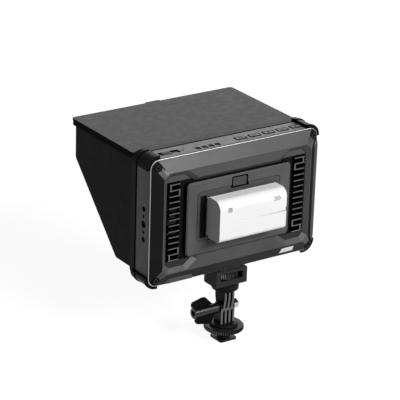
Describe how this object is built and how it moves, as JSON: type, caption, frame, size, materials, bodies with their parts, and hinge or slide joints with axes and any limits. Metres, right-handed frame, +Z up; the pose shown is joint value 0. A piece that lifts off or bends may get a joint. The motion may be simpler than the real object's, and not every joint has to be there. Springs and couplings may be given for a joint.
{
  "type": "camera field monitor",
  "caption": "Field monitor for a camera: metal-framed body with vents, slide-on battery, buttons and ports, folding three-leaf sun hood, and a tilting fork mount on an accessory shoe foot.",
  "frame": {"origin": "centre of the underside of the shoe foot", "axes": "+Z up along the mounting stem, screen towards -Y, battery towards +Y, side thread on +X"},
  "size_m": [0.1856, 0.1649, 0.1957],
  "materials": {
    "mid_frame": "satin",
    "rear_cover": "satin",
    "battery_deck": "matte",
    "battery_plate": "matte",
    "battery_contacts": "polished",
    "vent_grille_left": "matte",
    "vent_grille_right": "matte",
    "cover_screws": "satin",
    "label_plate": "matte",
    "front_bezel": "satin",
    "cover_glass": "polished",
    "lcd_panel": "satin",
    "backlight_tray": "satin",
    "main_board": "satin",
    "heat_sink": "satin",
    "fan_housing": "matte",
    "fan_rotor": "matte",
    "button_board": "satin",
    "function_button_1": "satin",
    "function_button_2": "satin",
    "function_button_3": "satin",
    "function_button_4": "satin",
    "function_button_5": "satin",
    "power_switch": "satin",
    "switch_body": "matte",
    "indicator_lenses": "polished",
    "release_button": "satin",
    "release_guide": "matte",
    "thread_inserts": "satin",
    "hdmi_ports": "satin",
    "usb_port": "satin",
    "dc_jack": "satin",
    "headphone_jack": "satin",
    "hood_frame": "matte",
    "hood_roof": "matte",
    "hood_flap_left": "matte",
    "hood_flap_right": "matte",
    "roof_hinge_pin": "polished",
    "flap_hinge_pins": "polished",
    "battery_shell": "satin",
    "battery_base": "satin",
    "battery_cells": "satin",
    "battery_board": "satin",
    "mount_pad": "matte",
    "mount_block": "satin",
    "thumb_wheel": "satin",
    "mount_screw": "polished",
    "upper_fork": "satin",
    "lower_fork": "satin",
    "pivot_bolt": "polished",
    "wing_knob": "satin",
    "pivot_nut": "polished",
    "lock_wheel": "satin",
    "clamp_washer": "satin",
    "shoe_foot": "satin"
  },
  "bodies": {
    "base": {"shoe_foot": "shoe_foot", "lower_fork": "lower_fork", "pivot_nut": "pivot_nut"},
    "clamp_ring": {"clamp_washer": "clamp_washer"},
    "lock": {"lock_wheel": "lock_wheel"},
    "knob": {"pivot_bolt": "pivot_bolt", "wing_knob": "wing_knob"},
    "head": {"mid_frame": "mid_frame", "rear_cover": "rear_cover", "battery_deck": "battery_deck", "battery_plate": "battery_plate", "battery_contacts": "battery_contacts", "vent_grille_left": "vent_grille_left", "vent_grille_right": "vent_grille_right", "cover_screws": "cover_screws", "label_plate": "label_plate", "front_bezel": "front_bezel", "cover_glass": "cover_glass", "lcd_panel": "lcd_panel", "backlight_tray": "backlight_tray", "main_board": "main_board", "heat_sink": "heat_sink", "fan_housing": "fan_housing", "button_board": "button_board", "switch_body": "switch_body", "indicator_lenses": "indicator_lenses", "release_guide": "release_guide", "thread_inserts": "thread_inserts", "hdmi_ports": "hdmi_ports", "usb_port": "usb_port", "dc_jack": "dc_jack", "headphone_jack": "headphone_jack", "hood_frame": "hood_frame", "roof_hinge_pin": "roof_hinge_pin", "flap_hinge_pins": "flap_hinge_pins", "mount_pad": "mount_pad", "mount_block": "mount_block", "upper_fork": "upper_fork"},
    "thumb": {"thumb_wheel": "thumb_wheel", "mount_screw": "mount_screw"},
    "roof": {"hood_roof": "hood_roof"},
    "flap_left": {"hood_flap_left": "hood_flap_left"},
    "flap_right": {"hood_flap_right": "hood_flap_right"},
    "battery": {"battery_shell": "battery_shell", "battery_base": "battery_base", "battery_cells": "battery_cells", "battery_board": "battery_board"},
    "release": {"release_button": "release_button"},
    "switch": {"power_switch": "power_switch"},
    "fan": {"fan_rotor": "fan_rotor"},
    "button_1": {"function_button_1": "function_button_1"},
    "button_2": {"function_button_2": "function_button_2"},
    "button_3": {"function_button_3": "function_button_3"},
    "button_4": {"function_button_4": "function_button_4"},
    "button_5": {"function_button_5": "function_button_5"}
  },
  "joints": [
    {"name": "lock_drop", "type": "slide", "parent": "base", "child": "clamp_ring", "axis": [0, 0, -1], "range_m": [0, 0.004]},
    {"name": "lock_turn", "type": "hinge", "parent": "clamp_ring", "child": "lock", "pos_m": [0, 0, 0.012], "axis": [0, 0, -1], "range_deg": [0, 1440]},
    {"name": "tilt", "type": "hinge", "parent": "base", "child": "head", "pos_m": [0, 0, 0.032], "axis": [1, 0, 0], "range_deg": [-90, 90]},
    {"name": "wing_turn", "type": "hinge", "parent": "base", "child": "knob", "pos_m": [0, 0, 0.032], "axis": [1, 0, 0], "continuous": true},
    {"name": "thumb_turn", "type": "hinge", "parent": "head", "child": "thumb", "pos_m": [0, 0, 0.0652], "axis": [0, 0, 1], "continuous": true},
    {"name": "roof_hinge", "type": "hinge", "parent": "head", "child": "roof", "pos_m": [0, -0.0235, 0.1885], "axis": [-1, 0, 0], "range_deg": [0, 90]},
    {"name": "left_flap_hinge", "type": "hinge", "parent": "head", "child": "flap_left", "pos_m": [0.0849, -0.0235, 0.1329], "axis": [0, 0, -1], "range_deg": [0, 90]},
    {"name": "right_flap_hinge", "type": "hinge", "parent": "head", "child": "flap_right", "pos_m": [-0.0849, -0.0258, 0.1329], "axis": [0, 0, 1], "range_deg": [0, 90]},
    {"name": "battery_slide", "type": "slide", "parent": "head", "child": "battery", "axis": [1, 0, 0], "range_m": [0, 0.007]},
    {"name": "release_press", "type": "slide", "parent": "head", "child": "release", "axis": [0, -1, 0], "range_m": [0, 0.0014], "stiffness_N_per_m": 900, "springref_m": -0.0006},
    {"name": "switch_slide", "type": "slide", "parent": "head", "child": "switch", "axis": [-1, 0, 0], "range_m": [0, 0.004]},
    {"name": "fan_spin", "type": "hinge", "parent": "head", "child": "fan", "pos_m": [0.0665, 0.0066, 0.1329], "axis": [0, 1, 0], "continuous": true},
    {"name": "press_1", "type": "slide", "parent": "head", "child": "button_1", "axis": [0, 0, -1], "range_m": [0, 0.0006], "stiffness_N_per_m": 1200, "springref_m": -0.0004},
    {"name": "press_2", "type": "slide", "parent": "head", "child": "button_2", "axis": [0, 0, -1], "range_m": [0, 0.0006], "stiffness_N_per_m": 1200, "springref_m": -0.0004},
    {"name": "press_3", "type": "slide", "parent": "head", "child": "button_3", "axis": [0, 0, -1], "range_m": [0, 0.0006], "stiffness_N_per_m": 1200, "springref_m": -0.0004},
    {"name": "press_4", "type": "slide", "parent": "head", "child": "button_4", "axis": [0, 0, -1], "range_m": [0, 0.0006], "stiffness_N_per_m": 1200, "springref_m": -0.0004},
    {"name": "press_5", "type": "slide", "parent": "head", "child": "button_5", "axis": [0, 0, -1], "range_m": [0, 0.0006], "stiffness_N_per_m": 1200, "springref_m": -0.0004}
  ],
  "couplings": [
    {"joint": "lock_turn", "follows": "lock_drop", "rad_per_m": 6283.2}
  ]
}
